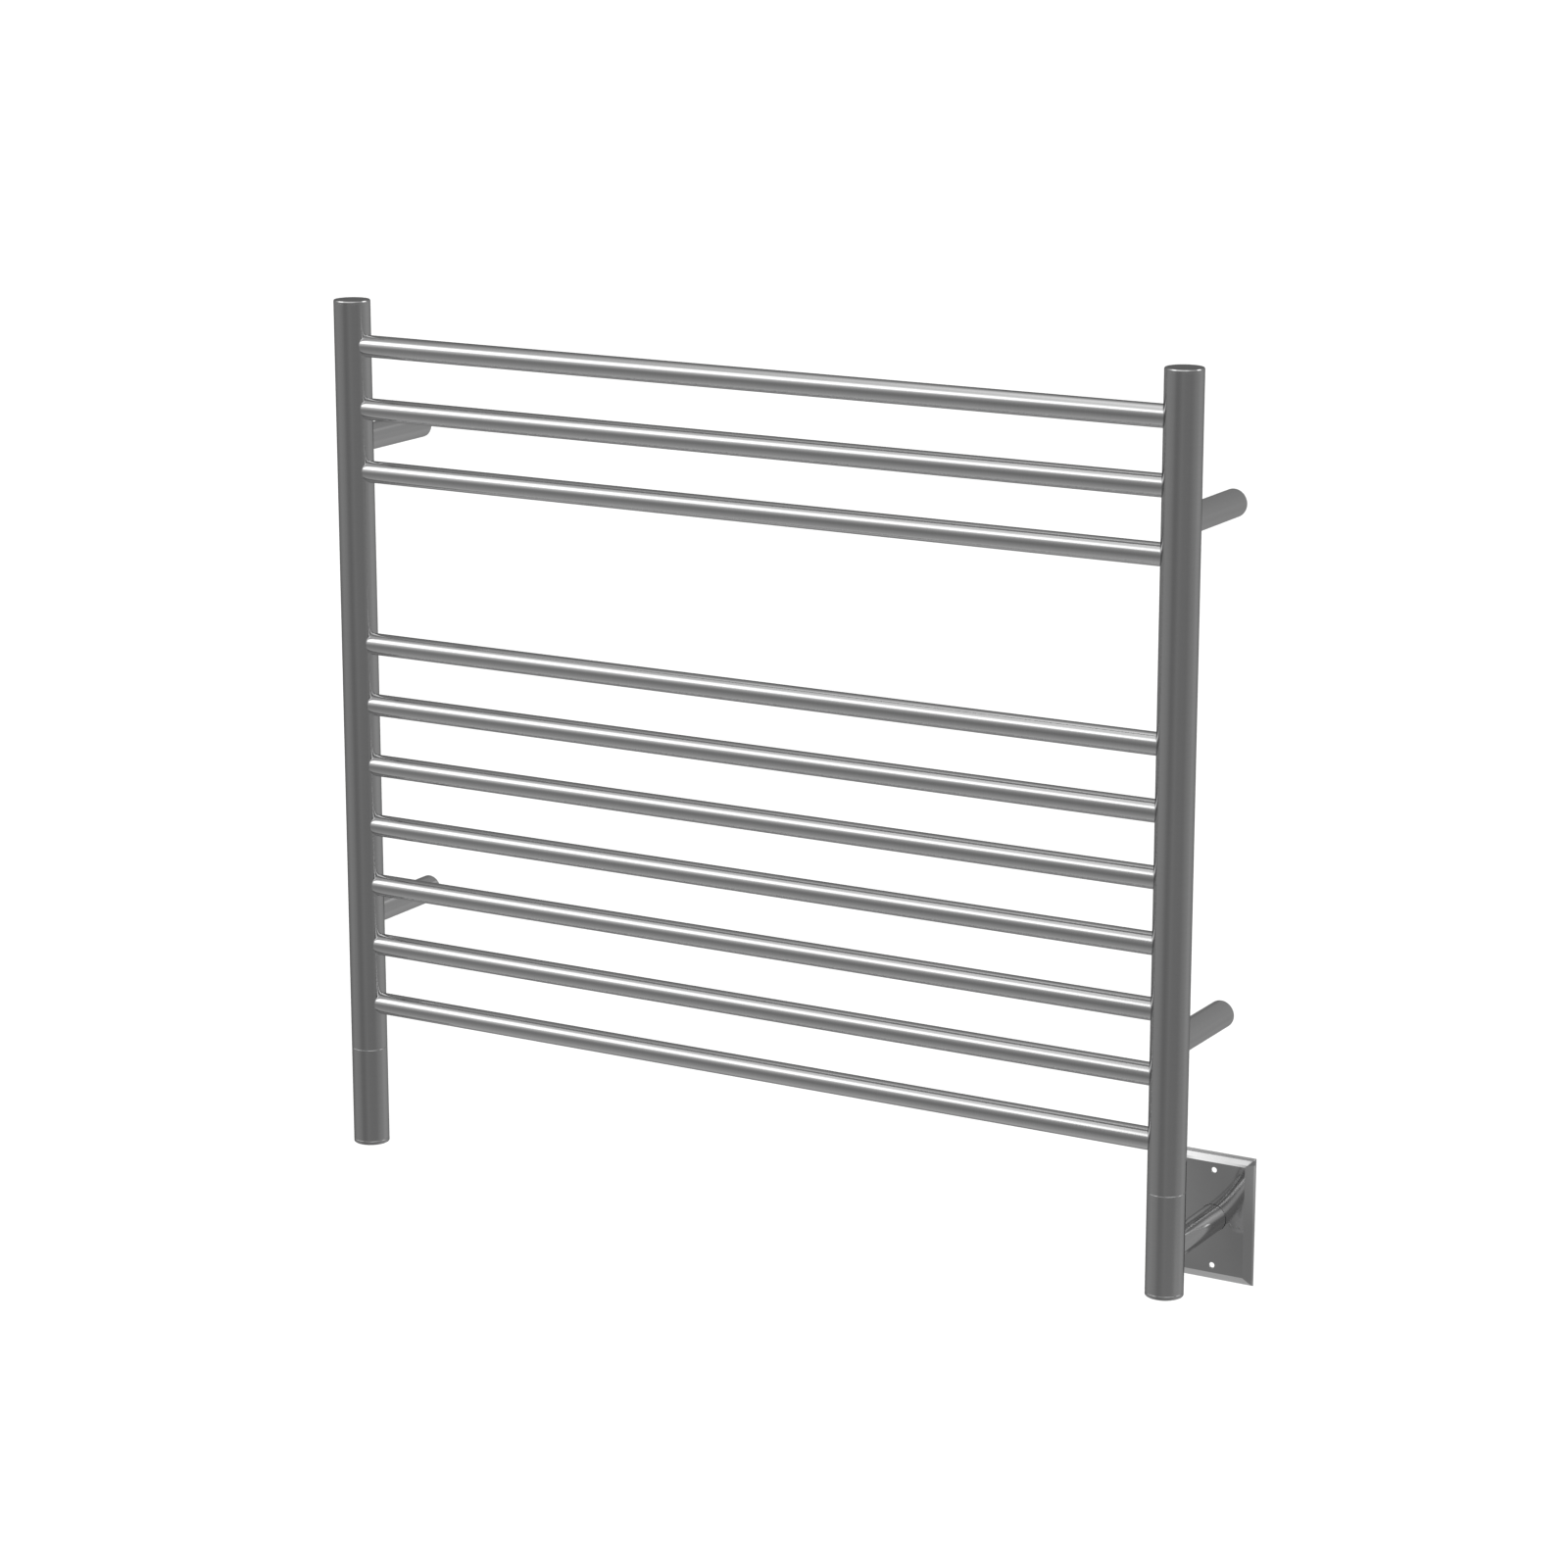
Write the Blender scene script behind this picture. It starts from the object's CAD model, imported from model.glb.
import math

import bmesh
import bpy
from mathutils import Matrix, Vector


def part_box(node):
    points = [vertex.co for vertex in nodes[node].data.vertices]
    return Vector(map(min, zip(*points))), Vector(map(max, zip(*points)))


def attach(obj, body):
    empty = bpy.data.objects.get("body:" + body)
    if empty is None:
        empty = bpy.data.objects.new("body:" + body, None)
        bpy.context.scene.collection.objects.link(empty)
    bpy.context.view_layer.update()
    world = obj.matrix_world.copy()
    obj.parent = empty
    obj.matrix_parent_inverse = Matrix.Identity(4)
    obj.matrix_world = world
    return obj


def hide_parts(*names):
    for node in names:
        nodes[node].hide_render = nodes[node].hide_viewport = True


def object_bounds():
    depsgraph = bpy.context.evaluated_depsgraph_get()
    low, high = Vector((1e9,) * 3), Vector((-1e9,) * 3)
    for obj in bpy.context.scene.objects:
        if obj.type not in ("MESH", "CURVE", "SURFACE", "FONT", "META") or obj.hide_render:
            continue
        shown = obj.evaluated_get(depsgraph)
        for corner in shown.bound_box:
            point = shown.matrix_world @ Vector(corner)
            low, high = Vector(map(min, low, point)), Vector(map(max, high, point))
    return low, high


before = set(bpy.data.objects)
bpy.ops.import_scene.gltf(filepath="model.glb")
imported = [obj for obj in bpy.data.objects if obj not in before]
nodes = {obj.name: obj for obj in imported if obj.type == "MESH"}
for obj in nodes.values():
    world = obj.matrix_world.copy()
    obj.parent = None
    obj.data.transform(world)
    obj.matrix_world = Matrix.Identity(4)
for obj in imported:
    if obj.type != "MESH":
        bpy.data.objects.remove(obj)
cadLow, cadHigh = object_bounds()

scene = bpy.context.scene
mm = 0.001
print("frame loaded,", len(nodes), "nodes")

cameraPlace = {
    "azimuth": 29.95,       # degrees round from ahead of the rack to its right
    "elevation": 13.97,     # degrees above level
    "distance": 3.673,      # metres from the middle of the rack
    "lens": 99.98,          # millimetres
    "sensor": 36,           # millimetres wide
    "aside": 0.0017,        # metres that the camera and its aim move to the right
    "lift": 0.0009,         # and up
}


def makeCamera(place):
    data = bpy.data.cameras.new("camera")
    data.lens = place["lens"]
    data.sensor_width = place["sensor"]
    camera = bpy.data.objects.new("camera", data)
    scene.collection.objects.link(camera)
    around = math.radians(place["azimuth"])
    above = math.radians(place["elevation"])
    back = Vector((math.sin(around) * math.cos(above),
                   -math.cos(around) * math.cos(above),
                   math.sin(above)))
    right = Vector((math.cos(around), math.sin(around), 0))
    aim = (cadLow + cadHigh) / 2 + right * place["aside"] + Vector((0, 0, place["lift"]))
    camera.location = aim + back * place["distance"]
    camera.rotation_euler = (-back).to_track_quat("-Z", "Y").to_euler()
    scene.camera = camera


makeCamera(cameraPlace)
print("camera placed")


def middle(node):
    low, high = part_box(node)
    return (low + high) / 2


def span(node):
    low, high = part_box(node)
    return high - low


fitGap = 0.05 * mm          # between a bore and what goes into it
hiddenRound = 0.05 * mm     # edge rounding where another part covers the edge
barNames = sorted(n for n in nodes if n.startswith("bar_"))
uprightX = middle("right_upright").x
axisY = middle("right_upright").y
uprightRadius = max(span("right_upright").x, span("right_upright").y) / 2
uprightBore = max(span("right_joiner").x, span("right_joiner").y) / 2 + fitGap
barRadius = span("bar_01").z / 2
postRadius = max(span("upper_left_post").x, span("upper_left_post").z) / 2
tubeCentre = middle("cable_tube")


def linked(tree, kind, inputs=None, **settings):
    # a new node with its settings and its inputs, each a value or another node's output
    node = tree.nodes.new(kind)
    for key, value in settings.items():
        setattr(node, key, value)
    for key, value in (inputs or {}).items():
        if isinstance(value, bpy.types.NodeSocket):
            tree.links.new(value, node.inputs[key])
        else:
            node.inputs[key].default_value = value
    return node


def maths(tree, operation, first, second=0.0):
    node = linked(tree, "ShaderNodeMath", {0: first, 1: second}, operation=operation)
    return node.outputs[0]


def remapped(tree, value, low, high):
    # a 0 to 1 value spread between low and high
    node = linked(tree, "ShaderNodeMapRange", {"Value": value, "To Min": low, "To Max": high})
    return node.outputs["Result"]


studio = {
    "plain": 1.18,               # even light for the floor, the backdrop and dull surfaces
    "brightest": 1.75,           # radiance at level 1 of the bands
    "leftBands": [               # level by angle: 0 is ahead of the rack, 90 overhead
        (-180, 0.213), (-140, 0.23), (-110, 0.272), (-98, 0.29), (-85, 0.275),
        (-70, 0.235), (-60, 0.21), (-45, 0.18), (-30, 0.155), (-18, 0.143),
        (-8, 0.145), (0, 0.165), (6, 0.21), (14, 0.31), (22, 0.4), (28, 0.52),
        (31, 1.0), (57, 1.0), (61, 0.7), (67, 0.43), (76, 0.28), (90, 0.24),
        (105, 0.2), (118, 0.155), (135, 0.135), (150, 0.15), (180, 0.16),
    ],
    "middleBands": [
        (-180, 0.213), (-140, 0.23), (-110, 0.272), (-98, 0.29), (-85, 0.275),
        (-70, 0.235), (-60, 0.21), (-45, 0.18), (-30, 0.145), (-18, 0.13),
        (0, 0.138), (6, 0.15), (14, 0.18), (22, 0.235), (30, 0.34), (35, 0.62),
        (37, 1.0), (51, 1.0), (55, 0.75), (60, 0.58), (66, 0.5), (73, 0.48), (82, 0.55),
        (95, 0.62), (108, 0.52), (120, 0.3), (132, 0.2), (145, 0.15), (180, 0.16),
    ],
    "rightBands": [
        (-180, 0.235), (-140, 0.245), (-110, 0.272), (-98, 0.29), (-85, 0.275),
        (-70, 0.235), (-60, 0.21), (-45, 0.18), (-30, 0.135), (-18, 0.12),
        (0, 0.12), (28, 0.13), (33, 0.25), (37, 0.56), (48, 0.6), (58, 0.45),
        (80, 0.3), (100, 0.23), (125, 0.19), (145, 0.185), (180, 0.2),
    ],
    "farBands": [                # for views from behind and from the other side
        (-180, 0.235), (-140, 0.245), (-98, 0.29), (-70, 0.235), (-45, 0.18),
        (-18, 0.14), (0, 0.16), (14, 0.3), (27, 0.5), (32, 1.0), (56, 1.0),
        (62, 0.5), (75, 0.3), (105, 0.23), (117, 0.3), (123, 0.95), (142, 0.95),
        (148, 0.3), (154, 0.2), (180, 0.2),
    ],
    "leftToMiddle": (-0.57, -0.42),    # sideways directions over which the bands change
    "middleToRight": (-0.405, -0.385),
    "rightToFar": (0.25, 0.45),
    "lowBands": [                # level by compass: 0 is ahead of the rack, 90 its right
        (-180, 0.222), (-150, 0.2), (-130, 0.175), (-110, 0.165), (-90, 0.162),
        (-72, 0.17), (-58, 0.162), (-46, 0.152), (-36, 0.141), (-27, 0.124),
        (-18, 0.107), (-9, 0.102), (0, 0.107), (8, 0.118), (17, 0.128), (26, 0.123),
        (36, 0.118), (55, 0.116), (66, 0.1145), (76, 0.121), (86, 0.135), (97, 0.148),
        (108, 0.16), (118, 0.175), (130, 0.202), (145, 0.212), (180, 0.222),
    ],
    "lowRise": (-0.42, -0.33),   # heights of direction between which the low bands show
    "lowFall": (-0.15, -0.05),
    "lowLift": 0.15,             # how much higher they reach to the middle and right
    "lowLiftOver": (-0.38, -0.28),
    "floorHeight": -1.25,
    "floorSize": 60,
    "floorColor": (0.92, 0.92, 0.92, 1),
    "floorRoughness": 0.9,
    "floorShine": 0.1,
}


def bandRamp(tree, angle, bands):
    place = linked(tree, "ShaderNodeMapRange", {
        "Value": angle, "From Min": -math.pi, "From Max": math.pi}).outputs["Result"]
    ramp = linked(tree, "ShaderNodeValToRGB", {"Fac": place})
    stops = ramp.color_ramp.elements
    while len(stops) > 1:
        stops.remove(stops[-1])
    for i, (degrees, level) in enumerate(bands):
        at = (degrees + 180) / 360
        stop = stops[0] if i == 0 else stops.new(at)
        stop.position = at
        stop.color = (level, level, level, 1)
    return ramp.outputs["Color"]


def step(tree, value, limits, start=0.0, end=1.0):
    made = linked(tree, "ShaderNodeMapRange", {
        "Value": value, "From Min": limits[0], "From Max": limits[1],
        "To Min": start, "To Max": end})
    return made.outputs["Result"]


def blend(tree, share, first, second):
    mixed = linked(tree, "ShaderNodeMixRGB", {"Fac": share, "Color1": first, "Color2": second})
    return mixed.outputs[0]


def makeWorld(look):
    world = bpy.data.worlds.new("studioWorld")
    scene.world = world
    world.use_nodes = True
    tree = world.node_tree
    tree.nodes.clear()
    direction = linked(tree, "ShaderNodeTexCoord").outputs["Generated"]
    parts = linked(tree, "ShaderNodeSeparateXYZ", {0: direction}).outputs
    ahead = maths(tree, "MULTIPLY", parts["Y"], -1.0)
    pitch = maths(tree, "ARCTAN2", parts["Z"], ahead)
    compass = maths(tree, "ARCTAN2", parts["X"], ahead)
    bands = bandRamp(tree, pitch, look["leftBands"])
    for change, name in (("leftToMiddle", "middleBands"), ("middleToRight", "rightBands"),
                         ("rightToFar", "farBands")):
        share = step(tree, parts["X"], look[change])
        bands = blend(tree, share, bands, bandRamp(tree, pitch, look[name]))
    low = bandRamp(tree, compass, look["lowBands"])
    lift = step(tree, parts["X"], look["lowLiftOver"], 0.0, look["lowLift"])
    below = maths(tree, "SUBTRACT", parts["Z"], lift)
    isLow = maths(tree, "MULTIPLY", step(tree, parts["Z"], look["lowRise"]),
                  step(tree, below, look["lowFall"], 1.0, 0.0))
    mirrored = linked(tree, "ShaderNodeLightPath").outputs["Is Glossy Ray"]
    light = linked(tree, "ShaderNodeBackground", {
        "Color": blend(tree, isLow, bands, low), "Strength": look["brightest"]})
    plain = linked(tree, "ShaderNodeBackground",
                   {"Color": (1, 1, 1, 1), "Strength": look["plain"]})
    mix = linked(tree, "ShaderNodeMixShader",
                 {0: mirrored, 1: plain.outputs[0], 2: light.outputs[0]})
    linked(tree, "ShaderNodeOutputWorld", {"Surface": mix.outputs[0]})


def makeFloor(look):
    half = look["floorSize"] / 2
    z = look["floorHeight"]
    mesh = bpy.data.meshes.new("floor")
    mesh.from_pydata([(-half, -half, z), (half, -half, z), (half, half, z), (-half, half, z)],
                     [], [(0, 1, 2, 3)])
    floor = bpy.data.objects.new("floor", mesh)
    scene.collection.objects.link(floor)
    pale = bpy.data.materials.new("paleFloor")
    pale.use_nodes = True
    surface = pale.node_tree.nodes["Principled BSDF"]
    surface.inputs["Base Color"].default_value = look["floorColor"]
    surface.inputs["Roughness"].default_value = look["floorRoughness"]
    surface.inputs["Specular IOR Level"].default_value = look["floorShine"]
    mesh.materials.append(pale)
    floor.visible_glossy = False     # the metal reflects the studio's bands, not the floor


scene.view_settings.view_transform = "Standard"
makeWorld(studio)
makeFloor(studio)
print("studio lit")

tubeGrain = {
    "fine": 2600.0,             # polishing lines, per metre along the tube
    "across": 60.0,             # the same lines, per metre around the tube
    "smudge": 16.0,             # broad patches left by hands and cloths, per metre
    "speckle": 900.0,           # pits and nubs of the polished skin, per metre
    "speckleDepth": 0.02 * mm,
    "bump": 0.12,
    "bumpDepth": 0.03 * mm,
    "tints": ((0.93, 0.93, 0.935), (1.06, 1.06, 1.06)),
    "lineRough": 0.02,          # how far the lines and smudges change the roughness
    "smudgeRough": 0.03,
}


def startMaterial(name):
    material = bpy.data.materials.new(name)
    material.use_nodes = True
    tree = material.node_tree
    surface = tree.nodes["Principled BSDF"]
    place = linked(tree, "ShaderNodeTexCoord").outputs["Object"]
    return material, tree, surface, place


def noise(tree, place, scale, detail=4.0, stretch=(1, 1, 1)):
    spread = linked(tree, "ShaderNodeMapping", {"Vector": place, "Scale": stretch})
    made = linked(tree, "ShaderNodeTexNoise",
                  {"Vector": spread.outputs[0], "Scale": scale, "Detail": detail,
                   "Roughness": 0.6})
    return made.outputs["Fac"]


def mottle(tree, surface, share, color, tints):
    # the base colour goes from a darker to a lighter tint of one colour
    dark, light = [tuple(min(part * tint, 1) for part, tint in zip(color, each)) + (1,)
                   for each in tints]
    shade = linked(tree, "ShaderNodeMixRGB", {"Fac": share, "Color1": dark, "Color2": light})
    tree.links.new(shade.outputs[0], surface.inputs["Base Color"])


def bumped(tree, height, strength, depth, under=None):
    inputs = {"Height": height, "Strength": strength, "Distance": depth}
    if under is not None:
        inputs["Normal"] = under
    return linked(tree, "ShaderNodeBump", inputs).outputs[0]


def polishedTube(name, axis, tone, roughness, rim):
    # stainless tube polished by a belt, so its fine lines run round the tube; rim tints
    # the reflection where the metal turns away, and a lower one is darker
    look = tubeGrain
    material, tree, surface, place = startMaterial(name)
    along = look["fine"] / look["across"]
    stretch = tuple(along if a == axis else 1.0 for a in "xyz")
    lines = noise(tree, place, look["across"], detail=6.0, stretch=stretch)
    smudges = noise(tree, place, look["smudge"], detail=3.0)
    speckle = noise(tree, place, look["speckle"], detail=2.0)
    mottle(tree, surface, lines, (tone, tone, tone), look["tints"])
    rough = maths(tree, "ADD", remapped(tree, lines, -look["lineRough"], look["lineRough"]),
                  remapped(tree, smudges, roughness - look["smudgeRough"],
                           roughness + look["smudgeRough"]))
    tree.links.new(rough, surface.inputs["Roughness"])
    surface.inputs["Metallic"].default_value = 1.0
    surface.inputs["Specular Tint"].default_value = (rim, rim, rim, 1)
    pits = bumped(tree, speckle, 1.0, look["speckleDepth"])
    grain = bumped(tree, lines, look["bump"], look["bumpDepth"], pits)
    tree.links.new(grain, surface.inputs["Normal"])
    return material


plateFinish = {
    "tone": 0.7,
    "tints": ((0.97, 0.97, 0.975), (1.03, 1.03, 1.03)),
    "roughness": 0.05,
    "haze": 45.0,               # faintly duller patches, per metre
    "hazeRough": (-0.02, 0.04),
    "scratch": 300.0,           # fine scratches, per metre
    "scratchStretch": (1.0, 1.0, 0.08),
    "scratchRough": 0.03,
    "scratchBump": 0.05,
    "scratchDepth": 0.02 * mm,
    "wave": 9.0,                # slow waves per metre
    "waveBump": 0.25,
    "waveDepth": 0.6 * mm,
    "fall": 3.0,                # how fast the sheet curves away beside the tube, per metre
    "fallReach": 50 * mm,       # how far above and below the tube it still does
}


def fallAway(tree, place, look):
    # the sheet curves away on both sides of the cable tube, most at the tube's level
    spot = linked(tree, "ShaderNodeSeparateXYZ", {0: place}).outputs
    across = maths(tree, "SUBTRACT", spot["X"], tubeCentre.x)
    above = maths(tree, "DIVIDE", maths(tree, "SUBTRACT", spot["Z"], tubeCentre.z),
                  look["fallReach"])
    fade = maths(tree, "MAXIMUM", maths(tree, "SUBTRACT", 1.0,
                                        maths(tree, "MULTIPLY", above, above)), 0.0)
    return maths(tree, "MULTIPLY", maths(tree, "MULTIPLY", across, across),
                 maths(tree, "MULTIPLY", fade, -look["fall"] / 2))


def mirrorSheet(name, look):
    # sheet buffed to a mirror, with the slow waves that a buffing wheel leaves
    material, tree, surface, place = startMaterial(name)
    waves = noise(tree, place, look["wave"], detail=1.0)
    haze = noise(tree, place, look["haze"], detail=4.0)
    scratches = noise(tree, place, look["scratch"], detail=5.0, stretch=look["scratchStretch"])
    mottle(tree, surface, haze, (look["tone"],) * 3, look["tints"])
    smooth, dull = look["hazeRough"]
    rough = maths(tree, "ADD", remapped(tree, haze, look["roughness"] + smooth,
                                        look["roughness"] + dull),
                  remapped(tree, scratches, 0.0, look["scratchRough"]))
    tree.links.new(rough, surface.inputs["Roughness"])
    surface.inputs["Metallic"].default_value = 1.0
    slow = bumped(tree, waves, look["waveBump"], look["waveDepth"])
    curved = bumped(tree, fallAway(tree, place, look), 1.0, 1.0, slow)
    fine = bumped(tree, scratches, look["scratchBump"], look["scratchDepth"], curved)
    tree.links.new(fine, surface.inputs["Normal"])
    return material


turnedFinish = {
    "marks": 900.0,             # the cutter's fine marks, per metre
    "dull": 120.0,              # duller patches, per metre
    "tints": ((0.85, 0.85, 0.85), (1.1, 1.1, 1.1)),
    "rough": (-0.08, 0.08),
    "metallic": 1.0,
    "bump": 0.2,
    "bumpDepth": 0.02 * mm,
}

mouldedFinish = {               # rubber, silicone and plastic
    "marks": 700.0,             # grain of the moulded skin, per metre
    "dull": 60.0,
    "tints": ((0.88, 0.88, 0.88), (1.1, 1.1, 1.1)),
    "rough": (-0.08, 0.1),
    "metallic": 0.0,
    "bump": 0.3,
    "bumpDepth": 0.04 * mm,
}


def plainMaterial(name, color, roughness, look):
    # one colour, slightly mottled, with a fine grain over it
    material, tree, surface, place = startMaterial(name)
    marks = noise(tree, place, look["marks"], detail=3.0)
    dull = noise(tree, place, look["dull"], detail=3.0)
    mottle(tree, surface, dull, color, look["tints"])
    smooth, rough = look["rough"]
    tree.links.new(remapped(tree, marks, roughness + smooth, roughness + rough),
                   surface.inputs["Roughness"])
    surface.inputs["Metallic"].default_value = look["metallic"]
    tree.links.new(bumped(tree, marks, look["bump"], look["bumpDepth"]),
                   surface.inputs["Normal"])
    return material


uprightSteel = polishedTube("uprightSteel", "z", 0.62, 0.11, 0.5)
barSteel = polishedTube("barSteel", "x", 0.66, 0.075, 0.5)
postSteel = polishedTube("postSteel", "y", 0.62, 0.11, 0.7)
seamSteel = plainMaterial("seamSteel", (0.6, 0.6, 0.605), 0.24, turnedFinish)
plateSteel = mirrorSheet("plateSteel", plateFinish)
innerSteel = plainMaterial("innerSteel", (0.58, 0.58, 0.59), 0.3, turnedFinish)
screwSteel = plainMaterial("screwSteel", (0.16, 0.16, 0.17), 0.38, turnedFinish)
brass = plainMaterial("brass", (0.72, 0.52, 0.2), 0.28, turnedFinish)
blackRubber = plainMaterial("blackRubber", (0.022, 0.022, 0.022), 0.6, mouldedFinish)
whiteNylon = plainMaterial("whiteNylon", (0.74, 0.73, 0.7), 0.42, mouldedFinish)
redSilicone = plainMaterial("redSilicone", (0.42, 0.05, 0.03), 0.45, mouldedFinish)
ivoryPlastic = plainMaterial("ivoryPlastic", (0.72, 0.66, 0.5), 0.4, mouldedFinish)
blackLead = plainMaterial("blackLead", (0.018, 0.018, 0.018), 0.4, mouldedFinish)
whiteLead = plainMaterial("whiteLead", (0.75, 0.75, 0.74), 0.4, mouldedFinish)
greenLead = plainMaterial("greenLead", (0.03, 0.26, 0.07), 0.4, mouldedFinish)
print("finishes mixed")


def arcPoints(centre, radius, start, end, steps):
    # points of an arc in (radius, height), with angles in degrees
    made = []
    for i in range(steps + 1):
        angle = math.radians(start + (end - start) * i / steps)
        made.append((centre[0] + radius * math.cos(angle), centre[1] + radius * math.sin(angle)))
    return made


def standing(axis, radial, tangential, height):
    # a point on a turned shape, with its axis along x, y or z
    return {"x": (height, radial, tangential),
            "y": (radial, height, tangential),
            "z": (radial, tangential, height)}[axis]


onAxis = 1e-7     # a smaller radius is a single point on the axis


def turnedMesh(profile, centre, axis, segments, closed):
    # profile goes round a tube's wall, or from axis to axis on a solid piece
    shape = bmesh.new()
    rings = []
    for radius, height in profile:
        count = 1 if radius < onAxis else segments
        ring = []
        for i in range(count):
            angle = 2 * math.pi * i / segments
            point = standing(axis, radius * math.cos(angle), radius * math.sin(angle), height)
            ring.append(shape.verts.new(Vector(point) + Vector(centre)))
        rings.append(ring)
    pairs = list(zip(rings, rings[1:] + rings[:1] if closed else rings[1:]))
    for lower, upper in pairs:
        for i in range(segments):
            j = (i + 1) % segments
            corners = [lower[i % len(lower)], lower[j % len(lower)],
                       upper[j % len(upper)], upper[i % len(upper)]]
            shape.faces.new(list(dict.fromkeys(corners)))
    bmesh.ops.recalc_face_normals(shape, faces=shape.faces)
    mesh = bpy.data.meshes.new("turned")
    shape.to_mesh(mesh)
    shape.free()
    return mesh


def evaluatedMesh(piece):
    # the piece's mesh with its modifiers worked in
    bpy.context.view_layer.update()
    return bpy.data.meshes.new_from_object(
        piece.evaluated_get(bpy.context.evaluated_depsgraph_get()))


def smoothed(piece, sharpAngle):
    # smooth shading that keeps flat faces flat
    piece.data.shade_smooth()
    piece.data.set_sharp_from_angle(angle=math.radians(sharpAngle))
    even = piece.modifiers.new("evenNormals", "WEIGHTED_NORMAL")
    even.keep_sharp = True
    solid = evaluatedMesh(piece)
    solid.name = piece.name
    piece.modifiers.clear()
    piece.data = solid


def placed(name, mesh, material, body, replaced=(), sharpAngle=35):
    piece = bpy.data.objects.new(name, mesh)
    scene.collection.objects.link(piece)
    mesh.name = name
    if material is not None:
        mesh.materials.clear()
        mesh.materials.append(material)
    smoothed(piece, sharpAngle)
    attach(piece, body)
    if replaced:
        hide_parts(*replaced)


uprightShape = {
    "segments": 144,
    "edgeRound": 0.45 * mm,      # softened edge at each joint
    "rimHeight": 0.9 * mm,       # chamfered rim of the top caps
    "rimInset": 0.55 * mm,
    "rimSharpAngle": 20,         # degrees, low enough to keep the rim's chamfer crisp
    "bottomRound": 0.8 * mm,
    "roundSteps": 5,
}


def tubeProfile(bottom, top, outer, inner, low, high, steps):
    # the wall of a tube, with its outer edges rounded
    points = arcPoints((outer - low, bottom + low), low, -90, 0, steps)
    points += arcPoints((outer - high, top - high), high, 0, 90, steps)
    return points + [(inner, top), (inner, bottom)]


def footProfile(bottom, top, rim, low, high, plug, plugEnd, steps):
    # the bottom cap's disc, and the plug that goes up into the sleeve
    disc = arcPoints((rim - low, bottom + low), low, -90, 0, steps)
    disc += arcPoints((rim - high, top - high), high, 0, 90, steps)
    return [(0, bottom)] + disc + [(plug, top), (plug, plugEnd), (0, plugEnd)]


def makeUpright(side, x):
    look = uprightShape
    edge, steps = look["edgeRound"], look["roundSteps"]
    centre = (x, axisY, 0)
    sleeveNode = "left_lower_sleeve" if side == "left" else "wiring_sleeve"
    tubeLow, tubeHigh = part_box(side + "_upright")
    sleeveLow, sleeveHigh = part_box(sleeveNode)
    capLow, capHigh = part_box(side + "_top_cap")
    footLow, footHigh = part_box(side + "_bottom_cap")
    plug = uprightBore - fitGap

    tube = tubeProfile(tubeLow.z, tubeHigh.z, uprightRadius, uprightBore, edge, hiddenRound,
                       steps)
    placed(side + "Upright", turnedMesh(tube, centre, "z", look["segments"], True),
           uprightSteel, "rack", [side + "_upright"])
    sleeve = tubeProfile(sleeveLow.z, sleeveHigh.z, uprightRadius, uprightBore, edge, edge, steps)
    placed(side + "Sleeve", turnedMesh(sleeve, centre, "z", look["segments"], True),
           uprightSteel, "rack", [sleeveNode])
    cap = [(0, capLow.z), (plug, capLow.z), (plug, tubeHigh.z), (uprightRadius, tubeHigh.z),
           (uprightRadius, capHigh.z - look["rimHeight"]),
           (uprightRadius - look["rimInset"], capHigh.z), (0, capHigh.z)]
    placed(side + "TopCap", turnedMesh(cap, centre, "z", look["segments"], False),
           uprightSteel, "rack", [side + "_top_cap"], look["rimSharpAngle"])
    foot = footProfile(footLow.z, sleeveLow.z, uprightRadius, look["bottomRound"], edge,
                       plug, footHigh.z, steps)
    placed(side + "BottomCap", turnedMesh(foot, centre, "z", look["segments"], False),
           uprightSteel, "rack", [side + "_bottom_cap"])


makeUpright("left", -uprightX)
makeUpright("right", uprightX)
print("uprights made")

barShape = {"segments": 96, "wall": 1.2 * mm, "edgeRound": 0.2 * mm, "roundSteps": 3}


def makeBar(node):
    look = barShape
    low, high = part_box(node)
    edge = look["edgeRound"]
    profile = tubeProfile(low.x, high.x, barRadius, barRadius - look["wall"], edge, edge,
                          look["roundSteps"])
    centre = (0, axisY, middle(node).z)
    placed("crossBar" + node[-2:], turnedMesh(profile, centre, "x", look["segments"], True),
           barSteel, "rack", [node])


for node in barNames:
    makeBar(node)
print("cross bars made")

postShape = {"segments": 96, "wall": 2.5 * mm, "edgeRound": 0.6 * mm, "roundSteps": 4}
cableTubeShape = {"segments": 96, "wall": 1.5 * mm, "edgeRound": 0.3 * mm, "roundSteps": 4}


def fitRoundUpright(mesh, x, front, back):
    # the front end follows the upright's curve, and the wall end stays flat
    for vertex in mesh.vertices:
        across = vertex.co.x - x
        curve = axisY + math.sqrt(uprightRadius ** 2 - across ** 2)
        share = (back - vertex.co.y) / (back - front)
        vertex.co.y += (curve - front) * share


def makePost(name, node, look):
    low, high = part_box(node)
    centre = middle(node)
    front = axisY + uprightRadius
    profile = tubeProfile(front, high.y, postRadius, postRadius - look["wall"], hiddenRound,
                          look["edgeRound"], look["roundSteps"])
    mesh = turnedMesh(profile, (centre.x, 0, centre.z), "y", look["segments"], True)
    fitRoundUpright(mesh, centre.x, front, high.y)
    placed(name, mesh, postSteel, "rack", [node])


for level in ("upper", "lower"):
    for side in ("left", "right"):
        makePost(f"{level}{side.capitalize()}Post", f"{level}_{side}_post", postShape)
makePost("cableTube", "cable_tube", cableTubeShape)
print("posts made")

seamShape = {"bead": 0.3 * mm, "around": 72, "beadSides": 10}


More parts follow.
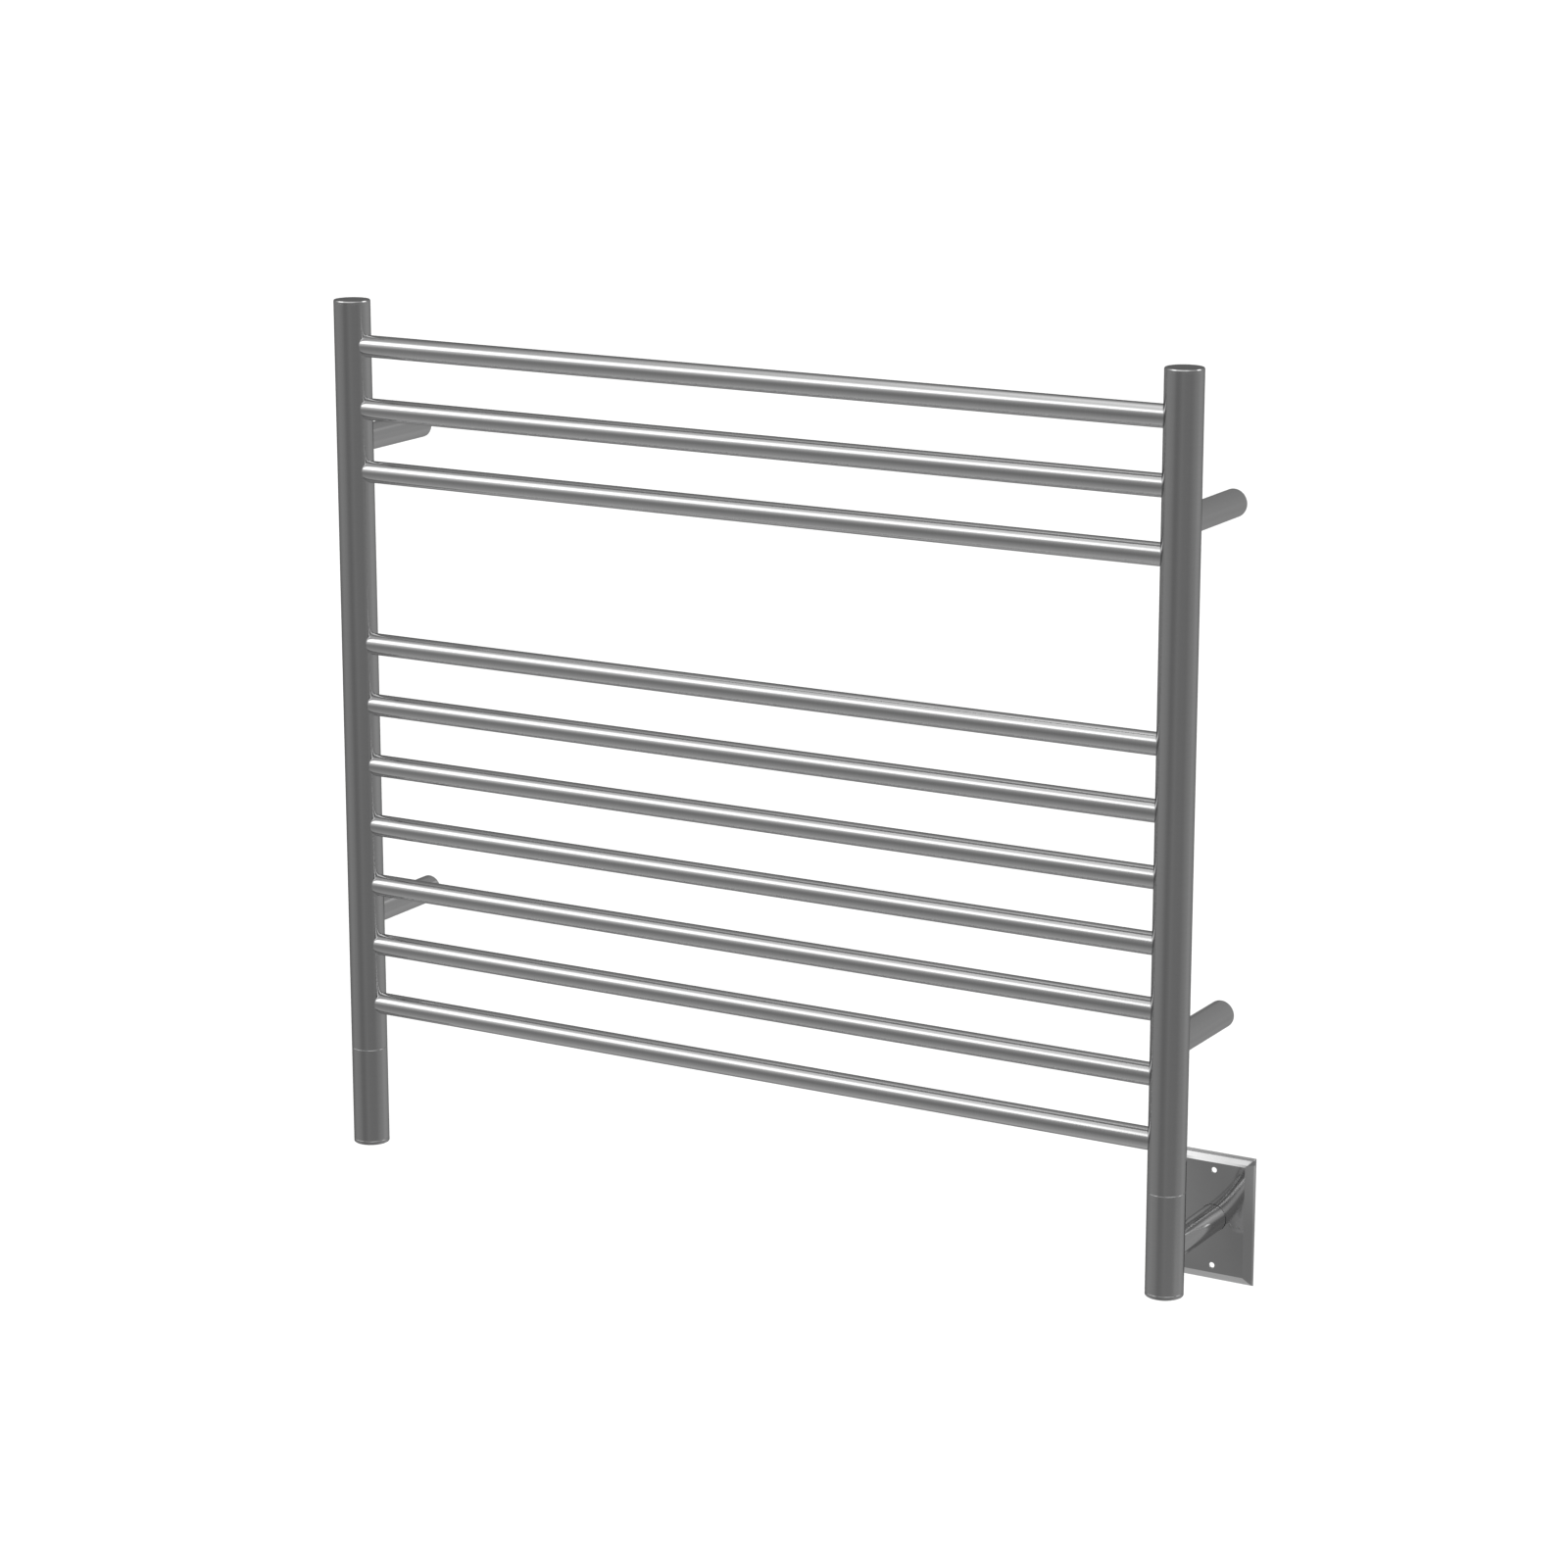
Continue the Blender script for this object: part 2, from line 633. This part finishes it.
def seamTree():
    # a thin bead round each spot where a tube meets an upright, along the curve they share
    tree = bpy.data.node_groups.new("weldedSeam", "GeometryNodeTree")
    face = tree.interface
    face.new_socket("Geometry", in_out="INPUT", socket_type="NodeSocketGeometry")
    face.new_socket("Geometry", in_out="OUTPUT", socket_type="NodeSocketGeometry")
    keys = {}
    for label, kind in (("Tube radius", "NodeSocketFloat"), ("Upright radius", "NodeSocketFloat"),
                        ("Bead radius", "NodeSocketFloat"), ("Points around", "NodeSocketInt"),
                        ("Bead sides", "NodeSocketInt"), ("Metal", "NodeSocketMaterial")):
        keys[label] = face.new_socket(label, in_out="INPUT", socket_type=kind).identifier
    given = tree.nodes.new("NodeGroupInput").outputs
    ring = linked(tree, "GeometryNodeCurvePrimitiveCircle",
                  {"Resolution": given["Points around"], "Radius": given["Tube radius"]})
    spot = linked(tree, "GeometryNodeInputPosition")
    parts = linked(tree, "ShaderNodeSeparateXYZ", {0: spot.outputs[0]}).outputs
    inside = maths(tree, "SUBTRACT",
                   maths(tree, "MULTIPLY", given["Upright radius"], given["Upright radius"]),
                   maths(tree, "MULTIPLY", parts["X"], parts["X"]))
    reach = maths(tree, "SQRT", inside)
    saddle = linked(tree, "ShaderNodeCombineXYZ", {0: reach, 1: parts["X"], 2: parts["Y"]})
    bent = linked(tree, "GeometryNodeSetPosition",
                  {"Geometry": ring.outputs[0], "Position": saddle.outputs[0]})
    section = linked(tree, "GeometryNodeCurvePrimitiveCircle",
                     {"Resolution": given["Bead sides"], "Radius": given["Bead radius"]})
    bead = linked(tree, "GeometryNodeCurveToMesh",
                  {"Curve": bent.outputs[0], "Profile Curve": section.outputs[0]})
    turn = linked(tree, "GeometryNodeInputNamedAttribute", {"Name": "turn"}, data_type="FLOAT")
    facing = linked(tree, "ShaderNodeCombineXYZ", {2: turn.outputs["Attribute"]})
    rotation = linked(tree, "FunctionNodeEulerToRotation", {0: facing.outputs[0]})
    spread = linked(tree, "GeometryNodeInstanceOnPoints",
                    {"Points": given["Geometry"], "Instance": bead.outputs[0],
                     "Rotation": rotation.outputs[0]})
    real = linked(tree, "GeometryNodeRealizeInstances", {0: spread.outputs[0]})
    metal = linked(tree, "GeometryNodeSetMaterial",
                   {"Geometry": real.outputs[0], "Material": given["Metal"]})
    linked(tree, "NodeGroupOutput", {0: metal.outputs[0]})
    return tree, keys


def pointsMesh(name, spots, turns):
    mesh = bpy.data.meshes.new(name)
    mesh.from_pydata(spots, [], [])
    turn = mesh.attributes.new("turn", "FLOAT", "POINT")
    turn.data.foreach_set("value", turns)
    return mesh


def grown(name, mesh, tree, values):
    # runs a node tree on the points and keeps the result as a plain mesh
    piece = bpy.data.objects.new(name, mesh)
    scene.collection.objects.link(piece)
    growth = piece.modifiers.new(name, "NODES")
    growth.node_group = tree
    for key, value in values.items():
        growth[key] = value
    made = evaluatedMesh(piece)
    bpy.data.objects.remove(piece)
    return made


def makeSeams():
    tree, keys = seamTree()
    ends = [(side * uprightX, axisY, middle(n).z) for n in barNames for side in (-1, 1)]
    ways = [0 if end[0] < 0 else math.pi for end in ends]
    backs = [(middle(n).x, axisY, middle(n).z) for n in nodes
             if n.endswith("_post") or n == "cable_tube"]
    for name, radius, spots, turns in (
            ("barSeams", barRadius, ends, ways),
            ("postSeams", postRadius, backs, [math.pi / 2] * len(backs))):
        mesh = grown(name, pointsMesh(name, spots, turns), tree, {
            keys["Tube radius"]: radius, keys["Upright radius"]: uprightRadius,
            keys["Bead radius"]: seamShape["bead"], keys["Points around"]: seamShape["around"],
            keys["Bead sides"]: seamShape["beadSides"], keys["Metal"]: seamSteel})
        placed(name, mesh, None, "rack")


makeSeams()
print("seams welded")

plateShape = {
    "border": 7.4 * mm,          # width of the sloped border
    "outerRound": 3.8 * mm,      # the border rolls over to meet the wall
    "outerTurn": 60.5,           # degrees it turns before the flat slope
    "outerSteps": 12,
    "sheet": 1.4 * mm,
    "foot": 1.68 * mm,           # width of the border's edge on the wall
    "edgeRound": 0.2 * mm,
    "edgeAngle": 25,             # degrees, and sharper edges than this are rounded
    "roundSteps": 3,
    "screwHole": 2.4 * mm,       # radius
    "screwSpacing": 83.3 * mm,
    "tubeGap": 0.2 * mm,
    "holeSegments": 96,
}


def plateProfile(look, depth):
    # (inset, height) pairs from the wall round the rolled edge to the front face
    turn = look["outerRound"]
    points = []
    steep = math.radians(look["outerTurn"])
    for i in range(look["outerSteps"] + 1):
        angle = steep * i / look["outerSteps"]
        points.append((turn * (1 - math.cos(angle)), turn * math.sin(angle)))
    return points + [(look["border"], depth)]


def plateMesh(look, low, high):
    # square loops: up the border to the front face, then the inside back down to the wall
    centre = (low + high) / 2
    size = high - low
    outer = plateProfile(look, size.y)
    loops = outer + [(look["border"], size.y - look["sheet"]), (look["foot"], 0)]
    corners, faces = [], []
    for inset, height in loops:
        for x, z in ((-1, -1), (1, -1), (1, 1), (-1, 1)):
            corners.append((centre.x + x * (size.x / 2 - inset), high.y - height,
                            centre.z + z * (size.z / 2 - inset)))
    front = len(outer) - 1
    for loop in range(len(loops)):
        if loop == front:
            continue
        after = (loop + 1) % len(loops)
        for i in range(4):
            j = (i + 1) % 4
            faces.append((loop * 4 + i, loop * 4 + j, after * 4 + j, after * 4 + i))
    faces.append([front * 4 + i for i in (0, 1, 2, 3)])
    faces.append([front * 4 + 4 + i for i in (0, 3, 2, 1)])
    mesh = bpy.data.meshes.new("wallPlate")
    mesh.from_pydata(corners, [], faces)
    shape = bmesh.new()
    shape.from_mesh(mesh)
    bmesh.ops.recalc_face_normals(shape, faces=shape.faces)
    shape.to_mesh(mesh)
    shape.free()
    return mesh


def addHole(piece, look, offset, radius, depth):
    # a hole through the plate, above the cable tube's middle by offset
    profile = [(0, -depth * 2), (radius, -depth * 2), (radius, depth), (0, depth)]
    centre = (tubeCentre.x, 0, tubeCentre.z + offset)
    mesh = turnedMesh(profile, centre, "y", look["holeSegments"], False)
    cutter = bpy.data.objects.new("cutter", mesh)
    scene.collection.objects.link(cutter)
    hole = piece.modifiers.new("hole", "BOOLEAN")
    hole.object = cutter
    hole.operation = "DIFFERENCE"
    hole.solver = "EXACT"
    return cutter


def makePlate(look):
    low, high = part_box("wall_plate")
    depth = (high - low).y
    piece = bpy.data.objects.new("wallPlate", plateMesh(look, low, high))
    scene.collection.objects.link(piece)
    cutters = [addHole(piece, look, 0, postRadius + look["tubeGap"], depth)]
    for offset in (look["screwSpacing"] / 2, -look["screwSpacing"] / 2):
        cutters.append(addHole(piece, look, offset, look["screwHole"], depth))
    soft = piece.modifiers.new("softEdges", "BEVEL")
    soft.width = look["edgeRound"]
    soft.segments = look["roundSteps"]
    soft.limit_method = "ANGLE"
    soft.angle_limit = math.radians(look["edgeAngle"])
    made = evaluatedMesh(piece)
    for spare in cutters + [piece]:
        bpy.data.objects.remove(spare)
    placed("wallPlate", made, plateSteel, "plate", ["wall_plate"])


makePlate(plateShape)
print("wall plate made")

# the nodes that aren't replaced keep their own shape and take a finish
finishOf = {
    "upper_left_dowel": innerSteel, "upper_right_dowel": innerSteel,
    "lower_left_dowel": innerSteel, "lower_right_dowel": innerSteel,
    "left_joiner": innerSteel, "right_joiner": innerSteel,
    "post_set_screws": screwSteel, "sleeve_set_screws": screwSteel,
    "lead_grommet": blackRubber, "plate_bush": whiteNylon,
    "heating_cable": redSilicone, "cutout_lead": redSilicone,
    "thermal_cutout": ivoryPlastic, "terminal_block": ivoryPlastic,
    "terminal_screws": brass, "earth_stud": brass, "earth_tag": brass, "earth_nut": brass,
    "live_lead": blackLead, "neutral_lead": whiteLead, "earth_lead": greenLead,
}
for node, finish in finishOf.items():
    for place in nodes[node].material_slots:
        place.material = finish
print("finishes given")
